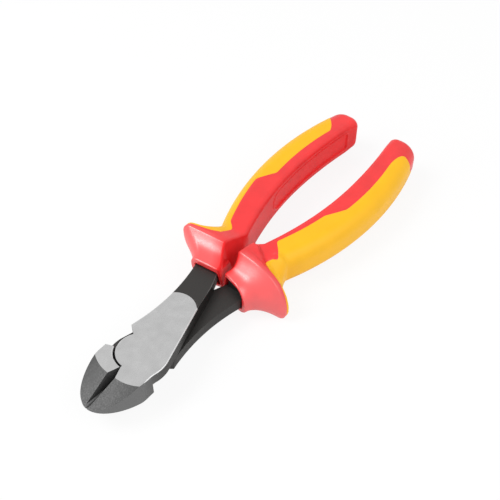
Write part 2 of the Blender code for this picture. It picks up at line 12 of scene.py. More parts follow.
import bmesh
import bpy
import numpy as np
from bpy.props import FloatProperty, FloatVectorProperty, PointerProperty
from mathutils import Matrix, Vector


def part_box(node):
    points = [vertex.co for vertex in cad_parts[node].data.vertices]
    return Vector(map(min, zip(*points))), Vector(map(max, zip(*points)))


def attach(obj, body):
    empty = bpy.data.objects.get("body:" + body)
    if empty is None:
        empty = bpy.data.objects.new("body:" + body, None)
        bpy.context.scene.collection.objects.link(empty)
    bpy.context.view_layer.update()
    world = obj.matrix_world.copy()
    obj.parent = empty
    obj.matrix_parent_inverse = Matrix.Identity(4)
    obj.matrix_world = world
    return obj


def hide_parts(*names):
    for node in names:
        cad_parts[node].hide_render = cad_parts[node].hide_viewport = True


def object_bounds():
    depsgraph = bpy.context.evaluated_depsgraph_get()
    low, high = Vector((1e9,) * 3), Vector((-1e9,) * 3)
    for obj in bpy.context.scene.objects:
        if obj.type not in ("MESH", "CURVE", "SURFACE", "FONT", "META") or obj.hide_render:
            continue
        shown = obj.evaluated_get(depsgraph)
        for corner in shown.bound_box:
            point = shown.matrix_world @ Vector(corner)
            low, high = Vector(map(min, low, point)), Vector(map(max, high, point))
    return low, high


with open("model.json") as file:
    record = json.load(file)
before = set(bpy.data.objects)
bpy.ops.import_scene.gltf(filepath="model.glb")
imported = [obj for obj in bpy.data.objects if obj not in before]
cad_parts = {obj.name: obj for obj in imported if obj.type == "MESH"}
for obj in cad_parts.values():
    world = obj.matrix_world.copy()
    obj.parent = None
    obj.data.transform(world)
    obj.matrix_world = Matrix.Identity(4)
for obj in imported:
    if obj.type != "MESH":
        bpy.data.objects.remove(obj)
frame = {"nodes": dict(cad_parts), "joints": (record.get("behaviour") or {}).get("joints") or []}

bl_info = {
    "name": "Diagonal cutting pliers",
    "version": (1, 0, 0),
    "blender": (4, 5, 0),
    "location": "View3D > Sidebar > Pliers",
    "description": "Builds the steel, the sleeves and the grips of a pair of cutting pliers",
    "category": "Object",
}

MM = 0.001
CAD_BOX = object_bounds()
PIVOT = Vector(frame["joints"][0]["pos_m"])
SLEEVE_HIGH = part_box("upper_sleeve")[1]
LEVER_LOW, LEVER_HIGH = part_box("upper_lever")
HALVES = (("upper", 1.0), ("lower", -1.0))

# Steps of the grids
RING_STEPS = (6, 16, 16, 8, 28)  # over each unit of the ring place
BORDER_STEPS = 9
ACROSS_STEPS = 73
ALONG_STEPS = 281

# Sleeve and grip
ROUND_SHARE = 0.95  # a corner takes up no more of its room
GUARD_FADE = (2.6, 0.6)  # ring place and run over which the guard turns dull
HANDLE_FADE = (3.3, 0.6)  # the same on the handle
HANDLE_DULL = 3.0  # handle's dull side against the guard's
BED_MARGIN = 0.7 * MM  # grip's edge to the edge of its bed
BED_SLOPE = 1.2 * MM  # length over which the bed deepens
PANEL_REACH = 1.5 * MM  # depth up to which a point is on the inner side
PANEL_CORNER = 1.6 * MM  # corners of the panel's back end
SLANT_POWER = 1.4  # how late the near end's slant sets in
END_TURN = (-0.5, 1.5)  # start and run of the step between the grip's two ends
END_SHARE = 0.1  # last share of the rows, drawn together to the end
END_POWER = 1.5

# Parts of a normal that sort the forging's faces
FLAT_TILT = 0.99
WALL_TILT = 0.4
GROUND_TILT = 0.999
FACET_TILT = (0.6, 0.9)  # from a side's colour to a facet's
FORWARD = -0.35
INWARD = 0.2


def number(name, description, value, **options):
    return FloatProperty(name=name, description=description, default=value, **options)


def length(name, description, millimetres):
    """A size that is written in millimetres here and kept in metres by Blender."""
    metres = millimetres * MM
    return number(name, description, metres, precision=5, subtype="DISTANCE", unit="LENGTH")


def share(name, description, value):
    return number(name, description, value, min=0.0, max=1.0, subtype="FACTOR")


def angle(name, description, degrees):
    return number(name, description, math.radians(degrees), subtype="ANGLE")


def colour(name, description, *rgb):
    return FloatVectorProperty(
        name=name, description=description, default=rgb, size=3, min=0.0, max=1.0, subtype="COLOR"
    )


class SleeveSizes(bpy.types.PropertyGroup):
    """Sizes of the moulded sleeve: mouth, guard, handle and recessed panel."""

    mouth_x: length("Mouth", "Pivot axis to the mouth", 43.6)
    mouth_outer: length("Mouth outer side", "Long axis to the mouth's outer side", 13.6)
    mouth_inner: length("Mouth inner side", "Long axis to the mouth's inner side", 0.6)
    mouth_height: length("Mouth near height", "Lap plane to the mouth's near face", 7.7)
    mouth_far: length("Mouth far height", "Lap plane to the mouth's far face", 5.0)
    mouth_corner: length("Mouth near corner", "Mouth's outer corner on the tang's side", 3.0)
    mouth_far_wide: length("Mouth far corner width", "Width of the far outer corner", 7.0)
    mouth_far_tall: length("Mouth far corner height", "Height of the far outer corner", 9.2)
    near_rake: number("Near rake", "Lean of the mouth's near edge", 0.10)
    far_rake: number("Far rake", "Lean of the mouth's far edge", 0.27)
    lip: length("Lip", "Rounding of the mouth's edge", 0.6)
    neck: length("Neck", "Straight length before the outer side flares", 0.2)
    guard: length("Guard", "Mouth to the rim's crest", 10.3)
    flare: number("Flare", "Power of the outer side's hollow flare", 1.6)
    rise: number("Rise", "Power of the near face's hollow ramp", 3.4)
    far_rise: number("Far rise", "Power of the far face's hollow ramp", 3.0)
    rim_outer: length("Rim outer side", "Long axis to the rim's tip", 25.5)
    rim_height: length("Rim half height", "Half height of the rim", (SLEEVE_HIGH.z - PIVOT.z) / MM)
    rim_land: length("Rim land", "Thickness of the rim at its edge", 2.6)
    rim_inner: length("Rim inner side", "Long axis to the guard's inner side", 3.2)
    rim_lean: length("Rim lean", "Lean of the inner side over the half height", 2.2)
    rim_rake: number("Rim rake", "Lean of the rim back to the middle", 0.09)
    rim_near_corner: length("Rim near corner", "Rim's corner on the tang's side", 4.2)
    near_swell: length("Near swell", "Widening of the near corner half way up", 0.4)
    rim_far_wide: length("Rim far corner width", "Width of the rim's far corner", 16.5)
    rim_far_tall: length("Rim far corner height", "Height of the rim's far corner", 18.0)
    rim_fall: length("Rim fall", "Crest to the handle's height, on the tang's side", 12.2)
    fillet: length("Flange fillet", "Fillet from the rim's back to the handle", 9.0)
    shelf: length("Shelf", "Crest to the end of the shelf on the far side", 9.6)
    shelf_height: length("Shelf height", "Shelf's end over the handle", 1.5)
    shelf_end: length("Shelf step", "Length of the step down from the shelf", 4.0)
    notch: length("Notch", "Crest to the notch behind the shelf, at the inner side", 9.0)
    notch_step: length("Notch step", "Length of the step down into the notch", 1.5)
    notch_bend: length("Notch bend", "Long axis to where the notch's edge turns forwards", 5.5)
    notch_sweep: number("Notch sweep", "Slope of the notch's edge from there", 0.85)
    notch_outer: length("Notch outer side", "Long axis to where the notch starts to run out", 10.5)
    notch_fade: length("Notch fade", "Length over which the notch runs out", 3.0)
    ease: length("Ease", "Half width of the rounding on the rim", 0.3)
    bow_x: length("Bow", "Pivot axis to the handles' widest place", 115.0)
    bow_outer: length("Bow outer side", "Long axis to the handle's widest place", 27.15)
    bow_inner: length("Bow inner side", "Long axis to the inner side there", 12.0)
    outer_front: length("Outer front radius", "Outer side ahead of the widest place", 124.0)
    outer_back: length("Outer back radius", "Outer side behind the widest place", 124.0)
    inner_front: length("Inner front radius", "Inner side ahead of the widest place", 147.0)
    inner_back: length("Inner back radius", "Inner side behind the widest place", 205.0)
    end_x: length("End", "Pivot axis to the handle's end", (SLEEVE_HIGH.x - PIVOT.x) / MM)
    end_round: length("End rounding", "Rounding of the handle's end", 3.3)
    height: length("Half height", "Half height of the handle", 8.0)
    outer_corner: length("Outer corner", "Handle's corners on its outer side", 6.0)
    inner_corner: length("Inner corner", "Handle's corners on its inner side", 2.0)
    end_corner: length("End inner corner", "Inner corners at the handle's end", 3.6)
    end_blend: length("End blend", "Length of the inner corners' widening", 10.0)
    guard_inner_corner: length("Guard inner corner", "Guard's corners on its inner side", 1.0)
    pocket_inner: length("Pocket inner side", "Long axis to the pocket's inner side", 1.5)
    pocket_outer: length("Pocket outer side", "Long axis to the pocket's outer side", 11.4)
    pocket_top: length("Pocket top", "Lap plane to the pocket's top", 5.2)
    pocket_gap: length("Pocket gap", "Lap plane to the pocket's floor", 3.3)
    pocket_corner: length("Pocket corner", "Pocket's corners", 0.6)
    pocket_far_wide: length("Pocket far corner width", "Width of its far outer corner", 3.4)
    pocket_far_tall: length("Pocket far corner height", "Height of its far outer corner", 4.4)
    pocket_edge: length("Pocket edge", "Rounding of the pocket's edge", 0.35)
    pocket_depth: length("Pocket depth", "Depth of the pocket that shows", 8.0)
    panel_start: length("Panel start", "Pivot axis to the panel's front", 92.0)
    panel_end: length("Panel end", "Pivot axis to the panel's back", 146.0)
    panel_height: length("Panel half height", "Half height of the panel", 4.6)
    panel_depth: length("Panel depth", "Depth of the recess", 0.45)
    panel_bead: length("Panel bead", "Height of the bead round the recess", 0.22)
    panel_bead_width: length("Panel bead width", "Half width of the bead", 0.38)


class GripSizes(bpy.types.PropertyGroup):
    """Sizes of the soft grip in the sleeve; near is the tang's side, places are from the pivot."""

    front: length("Front", "Rim's crest to the grip's front edge at the tip", 1.2)
    sweep: length("Front sweep", "Run of the front edge back to the collar", 3.6)
    near_collar: length("Near collar", "Width at the rim", 3.6)
    near_collar_x: length("Near collar place", "Place of that width", 59.0)
    near_corner: length("Near corner", "Width at the collar's back corner", 7.6)
    near_corner_x: length("Near corner place", "Place of that width", 64.4)
    near_front: length("Near front", "Width ahead of the change", 4.4)
    near_front_x: length("Near front place", "Start of that width", 67.8)
    near_back: length("Near back", "Width behind the change", 10.3)
    near_end: length("Near end", "Pivot axis to the grip's end", 149.5)
    near_run: length("Near run", "Length of the slant at the end", 11.1)
    near_slant: length("Near slant", "How far the slant takes the edge in", 11.3)
    far_tip: length("Far tip", "Width of the tongue along the rim", 2.7)
    far_tip_x: length("Far tip place", "End of that width", 61.5)
    far_collar: length("Far collar", "Width behind the tongue", 1.4)
    far_collar_x: length("Far collar place", "End of that width", 63.2)
    far_front: length("Far front", "Width ahead of the change", 11.2)
    far_front_x: length("Far front place", "Start of that width", 70.4)
    far_back: length("Far back", "Width behind the change", 7.4)
    far_end: length("Far end", "Pivot axis to the grip's end", 145.0)
    far_run: length("Far run", "Length of the rounding at the end", 11.0)
    far_round: length("Far rounding", "How far the rounding takes the edge in", 4.9)
    change: length("Change", "Pivot axis to where wide and narrow swap", 97.8)
    turn: length("Turn", "Length of an edge's change of width", 8.5)
    soften: length("Soften", "Half length of the rounding at corners", 0.8)
    proud: length("Proud", "How far the grip stands over the sleeve", 0.1)
    roll: length("Edge roll", "Rounding of the grip's edge", 0.4)
    wall: length("Wall", "Thickness of the grip", 0.9)
    bed: length("Bed", "Depth of the sleeve's bed under the grip", 1.2)


class SteelSizes(bpy.types.PropertyGroup):
    """Sizes of the finish on the forged levers."""

    edge: length("Edge", "Rounding of the forging's edges", 0.35)
    weld: length("Weld", "Vertices closer than this are one", 0.004)
    flat: angle("Flat", "Faces within this angle are one face", 0.6)
    crease: angle("Crease", "Faces that meet at more than this are shaded apart", 12.0)
    groove_end: length("Groove end", "Pivot axis to the back of the groove", -8.0)
    tang_start: length("Tang start", "Pivot axis to the ground face's end", 27.5)
    tang_edge: share("Tang edge", "Share of the rounding on the tang's edges", 0.5)
    spread: length("Spread", "Spread of the tang's inner edge at the mouth", 1.0)
    spread_start: length("Spread start", "Pivot axis to the spread's start", 33.6)
    spread_run: length("Spread run", "Length over which the spread grows", 10.0)
    spread_end: length("Spread end", "Pivot axis to the spread's end", 45.0)
    spread_side: length("Spread side", "The spread moves what is nearer the long axis", 3.0)
    dark_start: length("Dark start", "Pivot axis to the black finish", -9.0)
    dark_end: length("Dark end", "Pivot axis to the full black", 2.0)


class Finishes(bpy.types.PropertyGroup):
    """Colours and roughness of the steel, the sleeve and the grip."""

    ground: colour("Ground steel", "Bright ground faces", 0.53, 0.53, 0.53)
    ground_rough: share("Ground roughness", "Roughness of the ground faces", 0.26)
    satin: colour("Satin steel", "Sides of the jaws", 0.18, 0.18, 0.18)
    # Partly the facets' own darker finish and partly painted shade: faces that tilt up towards the
    # nose are coloured darker than the upright sides.
    facet: colour("Facet steel", "Faces of the jaws that fall to the nose", 0.068, 0.068, 0.068)
    black: colour("Black steel", "Black finish of the tangs", 0.055, 0.053, 0.051)
    # Painted shade: the faces between the cutting edges are coloured darker, as shade in the
    # crevice between the jaws.
    groove: colour("Groove steel", "Faces between the cutting edges", 0.115, 0.115, 0.115)
    # Painted highlight: the eased edges of the ground faces are coloured lighter than the ground
    # steel, like a lamp's glint.
    edge_highlight: colour("Highlight steel", "Edges of the ground faces", 0.60, 0.60, 0.60)
    # Painted highlight: the eased edges of the tangs are coloured lighter than their black finish.
    black_edge_highlight: colour("Highlight black steel", "Edges of the tangs", 0.13, 0.127, 0.125)
    skin_rough: share("Skin roughness", "Roughness of the unground steel", 0.5)
    red: colour("Red", "Sleeve", 0.86, 0.029, 0.031)
    red_rough: share("Red roughness", "Roughness of the sleeve", 0.38)
    red_matt: share("Red matt", "Mirror level of the sleeve's handle", 0.32)
    red_gloss: share("Red gloss", "Mirror level of the guard's outer faces", 1.0)
    red_dull: share("Red dull", "Mirror level of the guard's inner face", 0.03)
    red_index: number("Red index", "Refractive index of the sleeve", 1.70)
    yellow: colour("Yellow", "Soft grip", 0.94, 0.49, 0.008)
    yellow_rough: share("Yellow roughness", "Roughness of the grip", 0.46)
    yellow_matt: share("Yellow matt", "Mirror level of the grip", 0.32)


class StageSizes(bpy.types.PropertyGroup):
    """Camera, floor and lights."""

    azimuth: angle("Azimuth", "Camera's heading from the long axis", 51.362)
    elevation: angle("Elevation", "Camera's height over the floor", 47.478)
    lens: number("Lens", "Focal length in millimetres on a 36 mm sensor", 60.65)
    back: length("Camera back", "Camera behind the pivot axis", -111.236)
    side: length("Camera side", "Camera to the right of the long axis", -139.573)
    above: length("Camera above", "Camera above the pivot", 247.448)
    floor: length("Floor", "Half width of the floor", 2500.0)
    ambient: number("Ambient", "Strength of the soft light from all round", 0.54)
    key: number("Key", "Power of the lamp over the handles, in watts", 3.4)
    fill: number("Fill", "Power of the lamp on the right, in watts", 2.3)
    front: number("Front", "Power of the low lamp ahead of the jaws, in watts", 1.8)
    shadow: share("Shadow", "How much of the floor's shadow shows", 0.12)


class PliersSettings(bpy.types.PropertyGroup):
    """All the settings of the pliers."""

    sleeve: PointerProperty(type=SleeveSizes)
    grip: PointerProperty(type=GripSizes)
    steel: PointerProperty(type=SteelSizes)
    finish: PointerProperty(type=Finishes)
    stage: PointerProperty(type=StageSizes)


def mix(a, b, t):
    return a + (b - a) * t


def part_of(x, start, run):
    """0 before start, 1 after start + run, and linear between."""
    return np.clip((x - start) / run, 0.0, 1.0)


def smooth(t):
    """Smooth step of a share between 0 and 1."""
    return t * t * (3.0 - 2.0 * t)


def quarter(t):
    """Quarter circle: rises steeply from 0 and runs level into 1."""
    return np.sqrt(np.clip(1.0 - (1.0 - t) ** 2, 0.0, 1.0))


def hump(t):
    """0 at both ends of a share and 1 half way."""
    return 4.0 * t * (1.0 - t)


def bow(x, apex_x, apex, front, back):
    """Two arcs that meet level at the apex, one ahead of it and one behind."""
    radius = np.where(x < apex_x, front, back)
    return apex - radius + np.sqrt(radius ** 2 - (x - apex_x) ** 2)


def handle_outer(s, x):
    return bow(x, s.bow_x, s.bow_outer, s.outer_front, s.outer_back)


def handle_inner(s, x):
    return bow(x, s.bow_x, s.bow_inner, s.inner_front, s.inner_back)


def outer_side(s, x):
    """Straight neck, flare as a power of the way to the crest, level land, quarter-round fillet."""
    crest = s.mouth_x + s.guard
    land_end = crest + s.rim_land
    flare = part_of(x, s.mouth_x + s.neck, s.guard - s.neck) ** s.flare
    front = mix(s.mouth_outer, s.rim_outer, flare)
    fall = quarter(part_of(x, land_end, s.fillet))
    back = mix(s.rim_outer, handle_outer(s, np.maximum(x, land_end + s.fillet)), fall)
    return np.where(x < land_end, front, back)


def past_shelf(s, x):
    return smooth(part_of(x, s.mouth_x + s.guard + s.shelf, s.shelf_end))


def inner_side(s, x):
    """Smooth step from the mouth to the rim, and another from the rim to the handle."""
    handle_x = s.mouth_x + s.guard + s.shelf + s.shelf_end
    front = mix(s.mouth_inner, s.rim_inner, smooth(part_of(x, s.mouth_x, s.guard)))
    handle = handle_inner(s, np.maximum(x, handle_x))
    return mix(front, handle, past_shelf(s, x))


def near_height(s, x):
    """Power-law ramp up to the crest, then a long smooth fall to the handle."""
    ramp = mix(s.mouth_height, s.rim_height, part_of(x, s.mouth_x, s.guard) ** s.rise)
    return mix(ramp, s.height, smooth(part_of(x, s.mouth_x + s.guard, s.rim_fall)))


def far_height(s, x):
    """A steeper ramp from the thin far lip, then a straight shelf that ends in a smooth step."""
    ramp = mix(s.mouth_far, s.rim_height, part_of(x, s.mouth_x, s.guard) ** s.far_rise)
    slope = part_of(x, s.mouth_x + s.guard, s.shelf)
    shelf = mix(ramp, s.height + s.shelf_height, slope)
    return mix(shelf, s.height, past_shelf(s, x))


def eased(curve, s, x):
    """The curve averaged over a short stretch each way, which rounds its sharp edges."""
    shifts = np.linspace(-s.ease, s.ease, num=11)
    return curve(s, x[..., None] + shifts).mean(axis=-1)


Section = namedtuple(
    "Section",
    "outer inner near far near_corner inner_corner far_wide far_tall lean near_rake far_rake",
)


def sections(s, x, inset=0.0, shrink=0.0):
    """The moulding's cross-section at each station: sides, half heights, corners, lean and rake.

    Inset moves the whole outline in and sharpens its corners; shrink leaves the corners round.
    """
    guard = part_of(x, s.mouth_x, s.guard)
    flange = 1.0 - smooth(part_of(x, s.mouth_x + s.guard + s.rim_land, s.fillet))
    past = past_shelf(s, x)
    outer = eased(outer_side, s, x) - inset - shrink
    inner = inner_side(s, x) + inset + shrink
    near = eased(near_height, s, x) - inset - shrink
    far = eased(far_height, s, x) - inset - shrink
    near_corner = mix(s.mouth_corner, s.rim_near_corner, guard) + s.near_swell * hump(guard)
    near_corner = mix(s.outer_corner, near_corner, flange)
    far_wide = mix(s.outer_corner, mix(s.mouth_far_wide, s.rim_far_wide, guard * guard), flange)
    far_tall = mix(s.outer_corner, mix(s.mouth_far_tall, s.rim_far_tall, guard * guard), flange)
    inner_corner = mix(s.guard_inner_corner, s.inner_corner, past)
    widen = smooth(part_of(x, s.end_x - s.end_blend, s.end_blend))
    inner_corner = mix(inner_corner, s.end_corner, widen)
    least = s.guard_inner_corner / 2
    half_width = (outer - inner) / 2
    room = np.minimum(np.minimum(near, far), half_width)
    near_corner = limited(near_corner - inset, least, room)
    inner_corner = limited(inner_corner - inset, least, room)
    far_wide = limited(far_wide - inset, least, outer - inner - inner_corner)
    far_tall = limited(far_tall - inset, least, near + far - np.maximum(near_corner, inner_corner))
    corners = (near_corner, inner_corner, far_wide, far_tall)
    lean = s.rim_lean * smooth(guard) * (1.0 - past) / s.rim_height
    near_rake = mix(s.near_rake, s.rim_rake, guard) * flange
    far_rake = mix(s.far_rake, s.rim_rake, guard) * flange
    return Section(outer, inner, near, far, *corners, lean, near_rake, far_rake)


def limited(corner, least, room):
    """A corner that is no smaller than the least and leaves a little of the room straight."""
    return np.minimum(np.maximum(corner, least), ROUND_SHARE * room)


def face_sizes(face, section):
    """Height from the outer side's start, and the corner's width and height, on either face.

    The outer side starts on the lap plane, or above it where the far corner is taller than the
    far half.
    """
    start = np.maximum(section.far_tall - ROUND_SHARE * section.far, 0.0)
    high = np.where(face >= 0, section.near - start, section.far + start)
    wide = np.where(face >= 0, section.near_corner, section.far_wide)
    tall = np.where(face >= 0, section.near_corner, section.far_tall)
    return start, high, wide, tall


def notch_share(s, x, y):
    """How far a place of the far face is down in the notch behind the shelf, from 0 to 1."""
    swept = x + s.notch_sweep * np.maximum(y - s.notch_bend, 0.0)
    down = smooth(part_of(swept, s.mouth_x + s.guard + s.notch, s.notch_step))
    return down * (1.0 - smooth(part_of(y, s.notch_outer, s.notch_fade)))


def ring_point(s, x, k, section):
    """Point of a leaning, raked, round-cornered box at ring place k, from -5 to 5.

    0 is the start of the outer side and 5 the middle of the inner side. Unit steps of k go over
    the outer side, the outer corner, the face, the inner corner and half the inner side; k above
    0 takes the tang's face and k below 0 the far face.
    """
    face = np.sign(k)
    place = np.abs(k)
    start, high, wide, tall = face_sizes(face, section)
    small = section.inner_corner
    part = [np.clip(place - index, 0.0, 1.0) for index in range(5)]
    turn_out = part[1] * math.pi / 2
    turn_in = part[3] * math.pi / 2
    across = part[2] * (section.outer - section.inner - wide - small)
    up = part[0] * (high - tall) + tall * np.sin(turn_out)
    down = small * (1.0 - np.cos(turn_in)) + part[4] * (high + face * start - small)
    y = section.outer - wide * (1.0 - np.cos(turn_out)) - across - small * np.sin(turn_in)
    z = start + face * (up - down)
    lower = notch_share(s, x, y) * np.maximum(1.0 - s.height / section.far, 0.0)
    z = np.where(z < 0.0, z * (1.0 - lower), z)
    shift = section.lean * z * (section.outer - y) / (section.outer - section.inner)
    below = (section.near - z) / (section.near + section.far)
    rake = mix(section.near_rake, section.far_rake, below)
    return np.stack((x + rake * (s.mouth_outer - y), y + shift, z), axis=-1)


def ring_lengths(face, section):
    """Lengths along the ring of the outer side, the outer corner and the face."""
    _, high, corner, _ = face_sizes(face, section)
    across = section.outer - section.inner - corner - section.inner_corner
    return high - corner, corner * math.pi / 2, across


def arc_from_place(k, section):
    """Ring length from the middle of the outer side to place k, up to the inner corner."""
    stretches = enumerate(ring_lengths(np.sign(k), section))
    return sum(np.clip(np.abs(k) - index, 0.0, 1.0) * run for index, run in stretches)


def place_from_arc(q, section):
    """The ring place k at ring length q from the outer side's middle; below 0 is the far face."""
    face = np.sign(q)
    left = np.abs(q)
    steps = 0.0
    for run in ring_lengths(face, section):
        steps = steps + np.clip(left / run, 0.0, 1.0)
        left = left - run
    return face * steps


def arc_to_edge(width, high, corner):
    """Ring length from the middle of the outer side to a line that far in from the outer side."""
    bend = corner * np.arccos(np.clip(1.0 - width / corner, 0.0, 1.0))
    return high - corner + bend + np.maximum(width - corner, 0.0)


def grip_width(g, x, face):
    """Width of the grip on either face: straight between named places, with rounded corners."""
    x = x[..., None] + np.linspace(-g.soften, g.soften, num=9)
    swap = (g.change - g.turn / 2, g.change + g.turn / 2)
    near_places = (g.near_collar_x, g.near_corner_x, g.near_front_x, *swap)
    near_widths = (g.near_collar, g.near_corner, g.near_front, g.near_front, g.near_back)
    near = np.interp(x, near_places, near_widths)
    far_places = (g.far_tip_x, g.far_collar_x, g.far_front_x, *swap)
    far_widths = (g.far_tip, g.far_collar, g.far_front, g.far_front, g.far_back)
    far = np.interp(x, far_places, far_widths)
    return np.where(face >= 0, near.mean(axis=-1), far.mean(axis=-1))


def grip_edge(s, g, x, section, face):
    """Ring length to the grip's edge on one face, from its width in from the handle's outer arc."""
    edge_y = handle_outer(s, x) - grip_width(g, x, face)
    _, high, corner, _ = face_sizes(face, section)
    return arc_to_edge(section.outer - edge_y, high, corner)


def unit_cross(along, around):
    """Unit normals from two tangents of a surface."""
    cross = np.cross(along, around)
    return cross / np.maximum(np.linalg.norm(cross, axis=-1, keepdims=True), 1e-12)


def normals(points):
    """Unit normals of a grid of points, from its two tangents."""
    return unit_cross(np.gradient(points, axis=0), np.gradient(points, axis=1))


def skin_point(s, x, q):
    """Point of the sleeve's skin at that station and ring length."""
    section = sections(s, x)
    return ring_point(s, x, place_from_arc(q, section), section)


def skin_normal(s, x, q, step):
    """Unit normal of the sleeve's skin, from points a step to either side."""
    along = skin_point(s, x + step, q) - skin_point(s, x - step, q)
    around = skin_point(s, x, q + step) - skin_point(s, x, q - step)
    return unit_cross(along, around)


def grid_faces(rows, columns, closed):
    """Quads of a grid, which joins up round its columns if it is closed."""
    row = np.arange(rows - 1)[:, None]
    column = np.arange(columns if closed else columns - 1)[None, :]
    after = (column + 1) % columns
    corners = (
        row * columns + column,
        row * columns + after,
        (row + 1) * columns + after,
        (row + 1) * columns + column,
    )
    return np.stack(np.broadcast_arrays(*corners), axis=-1).reshape(-1, 4)


def add_object(name, data):
    item = bpy.data.objects.new(name, data)
    bpy.context.scene.collection.objects.link(item)
    return item


def add_piece(name, points, faces, ends, finish, **values):
    """A smooth mesh object from points, quads, end faces and named values at the points."""
    mesh = bpy.data.meshes.new(name)
    mesh.from_pydata(points.reshape(-1, 3).tolist(), [], faces.tolist() + ends)
    for key, value in values.items():
        mesh.attributes.new(key, "FLOAT", "POINT").data.foreach_set("value", value.ravel())
    mesh.shade_smooth()
    mesh.materials.append(finish)
    return add_object(name, mesh)


def placed(points, half):
    """Points from the pivot's frame into the tool's, turned over if half is -1."""
    return points * np.array([1.0, half, half]) + np.array(PIVOT)


def join_frame(piece, half, kind):
    """The piece rides on its half and stands for that half's CAD node, which it hides."""
    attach(piece, half + "_half")
    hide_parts(half + "_" + kind)


def finish_nodes(name, roughness, metallic=0.0):
    """A new Principled finish; gives the material, its node tree and its shader."""
    finish = bpy.data.materials.new(name)
    finish.use_nodes = True
    shader = finish.node_tree.nodes["Principled BSDF"]
    shader.inputs["Roughness"].default_value = roughness
    shader.inputs["Metallic"].default_value = metallic
    return finish, finish.node_tree, shader


def add_node(tree, kind, settings=(), **inputs):
    """A new node of that kind; each input is a value to set or a socket to link."""
    node = tree.nodes.new("ShaderNode" + kind)
    for key, value in settings:
        setattr(node, key, value)
    for key, value in inputs.items():
        if isinstance(value, bpy.types.NodeSocket):
            tree.links.new(value, node.inputs[key])
        else:
            node.inputs[key].default_value = value
    return node


def grain(tree, scale, stretch=(1.0, 1.0, 1.0), detail=3.0):
    """Noise on Object coordinates, stretched along the axes; gives its value's socket."""
    place = add_node(tree, "TexCoord").outputs["Object"]
    place = add_node(tree, "Mapping", Vector=place, Scale=stretch).outputs["Vector"]
    return add_node(tree, "TexNoise", Vector=place, Scale=scale, Detail=detail).outputs["Fac"]


def ranged(tree, value, low, high, start=0.3, end=0.7):
    """The value from start to end, spread from low to high."""
    limits = {"From Min": start, "From Max": end, "To Min": low, "To Max": high}
    return add_node(tree, "MapRange", Value=value, **limits).outputs["Result"]


def tinted(tree, value, first, second):
    """First colour, or what its socket gives, where the value is 0; second where it is 1."""
    first = first if isinstance(first, bpy.types.NodeSocket) else (*first, 1.0)
    settings = [("data_type", "RGBA")]
    node = add_node(tree, "Mix", settings, Factor=value, A=first, B=(*second, 1.0))
    return node.outputs["Result"]


def scaled(base, factor):
    return [channel * factor for channel in base]


def textured(tree, shader, value, roughness, spread, relief):
    """Uneven gloss and a fine relief, that many metres high, from one noise."""
    gloss = ranged(tree, value, roughness + spread[0], roughness + spread[1])
    tree.links.new(gloss, shader.inputs["Roughness"])
    bump = add_node(tree, "Bump", Height=value, Distance=relief)
    tree.links.new(bump.outputs["Normal"], shader.inputs["Normal"])


def plastic(name, base, roughness, mirror, mottle, grain_scale, relief):
    """Moulded plastic: faint mottling, uneven gloss and a fine grain."""
    finish, tree, shader = finish_nodes(name, roughness)
    shader.inputs["Specular IOR Level"].default_value = mirror
    cloud = ranged(tree, grain(tree, scale=140.0), 0.0, 1.0)
    shade = tinted(tree, cloud, base, scaled(base, 1.0 - mottle))
    tree.links.new(shade, shader.inputs["Base Color"])
    fine = grain(tree, grain_scale, detail=2.0)
    textured(tree, shader, fine, roughness, spread=(-0.05, 0.06), relief=relief)
    return finish


def polish(tree, attribute, index):
    """The mirror level, at that refractive index, comes from that attribute of the mesh."""
    level = add_node(tree, "Attribute", [("attribute_name", attribute)])
    shader = tree.nodes["Principled BSDF"]
    shader.inputs["IOR"].default_value = index
    tree.links.new(level.outputs["Fac"], shader.inputs["Specular IOR Level"])


def ground_steel(look):
    """Bright steel, stone ground: faint clouds under a fine even speckle."""
    base, rough = look.ground, look.ground_rough
    finish, tree, shader = finish_nodes("ground_steel", rough, metallic=1.0)
    bright, dull = scaled(base, 1.1), scaled(base, 0.9)
    marks = grain(tree, scale=1500.0, stretch=(1.0, 1.6, 1.0), detail=5.0)
    cloud = ranged(tree, grain(tree, scale=240.0, detail=4.0), 0.0, 1.0)
    pale = tinted(tree, cloud, bright, dull)
    shade = tinted(tree, ranged(tree, marks, 0.0, 1.0), pale, dull)
    tree.links.new(shade, shader.inputs["Base Color"])
    textured(tree, shader, marks, rough, spread=(-0.06, 0.08), relief=0.004 * MM)
    return finish


def forged_steel(name, side, facet, tang, rough, dark):
    """Unground steel: one colour on upright sides, one on facets, a third along the tangs.

    Dark gives the two distances from the pivot axis over which the tangs' colour comes in.
    """
    finish, tree, shader = finish_nodes(name, rough, metallic=1.0)
    place = add_node(tree, "SeparateXYZ", Vector=add_node(tree, "TexCoord").outputs["Object"])
    along = ranged(tree, place.outputs["X"], 0.0, 1.0, PIVOT.x + dark[0], PIVOT.x + dark[1])
    normal = add_node(tree, "SeparateXYZ", Vector=add_node(tree, "NewGeometry").outputs["Normal"])
    tilt = add_node(tree, "Math", [("operation", "ABSOLUTE")], Value=normal.outputs["Z"])
    # The tilt picks the facet colour: partly the facets' own finish, partly painted shade.
    jaw = tinted(tree, ranged(tree, tilt.outputs[0], 0.0, 1.0, *FACET_TILT), side, facet)
    tree.links.new(tinted(tree, along, jaw, tang), shader.inputs["Base Color"])
    tooth = grain(tree, scale=2200.0)
    textured(tree, shader, tooth, rough, spread=(-0.07, 0.09), relief=0.012 * MM)
    return finish


def rounded_box(x, z, start, end, half_height, front, back):
    """Signed distance to a box in the XZ plane with round ends: front and back corner radii."""
    radius = np.where(x < (start + end) / 2, front, back)
    dx = np.abs(x - (start + end) / 2) - (end - start) / 2 + radius
    dz = np.abs(z) - half_height + radius
    outside = np.hypot(np.maximum(dx, 0.0), np.maximum(dz, 0.0))
    return outside + np.minimum(np.maximum(dx, dz), 0.0) - radius


